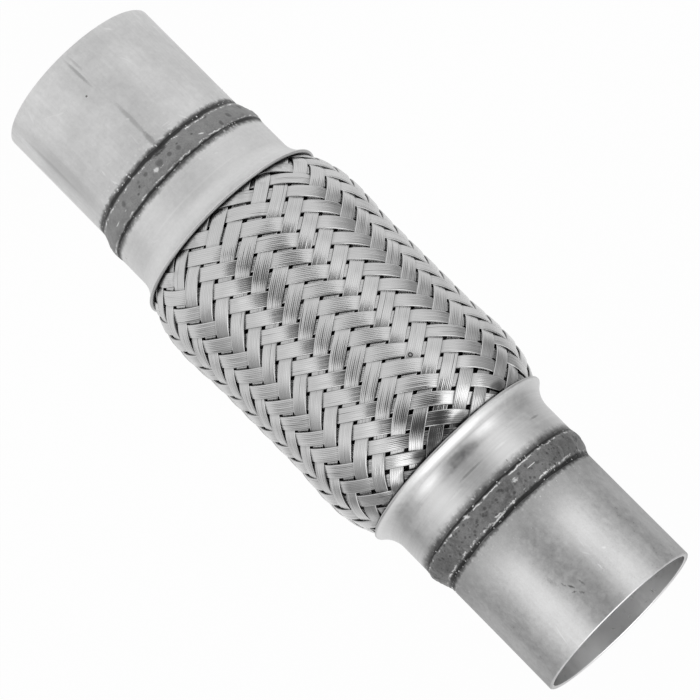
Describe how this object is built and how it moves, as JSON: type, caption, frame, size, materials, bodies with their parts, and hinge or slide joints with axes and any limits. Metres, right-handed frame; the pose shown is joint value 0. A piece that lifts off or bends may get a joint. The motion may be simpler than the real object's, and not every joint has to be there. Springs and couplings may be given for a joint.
{
  "type": "exhaust flex pipe",
  "caption": "Flexible exhaust pipe section: plain nipples welded to trumpet collars that hold a herringbone wire braid over a metal bellows and an interlocked liner.",
  "frame": {"origin": "centre of the inlet nipple's free end, on which the pipe stands", "axes": "+Z along the pipe, from the inlet nipple to the outlet nipple; Y is the axis about which the flex section bends"},
  "size_m": [0.0798, 0.0798, 0.254],
  "materials": {
    "nipple_steel": "satin aluminised steel tube with light handling scratches",
    "weld_metal": "dark grey weld bead with pits and spatter",
    "collar_steel": "pressed bright stainless sheet with faint lines round it",
    "braid_wire": "bright drawn stainless wire",
    "bellows_sheet": "thin formed stainless sheet",
    "liner_strip": "rolled stainless strip"
  },
  "bodies": {
    "inlet_end": {"inlet_tube": "nipple_steel", "inlet_weld": "weld_metal", "inlet_collar": "collar_steel", "outer_braid": "braid_wire", "bellows": "bellows_sheet", "inner_liner": "liner_strip"},
    "outlet_end": {"outlet_tube": "nipple_steel", "outlet_weld": "weld_metal", "outlet_collar": "collar_steel"}
  },
  "joints": [
    {"name": "flex_bend", "type": "hinge", "parent": "inlet_end", "child": "outlet_end", "pos_m": [0, 0, 0.127], "axis": [0, 1, 0], "range_deg": [-12, 12], "stiffness_Nm_per_rad": 60, "deforming": ["outer_braid", "bellows", "inner_liner"]}
  ]
}
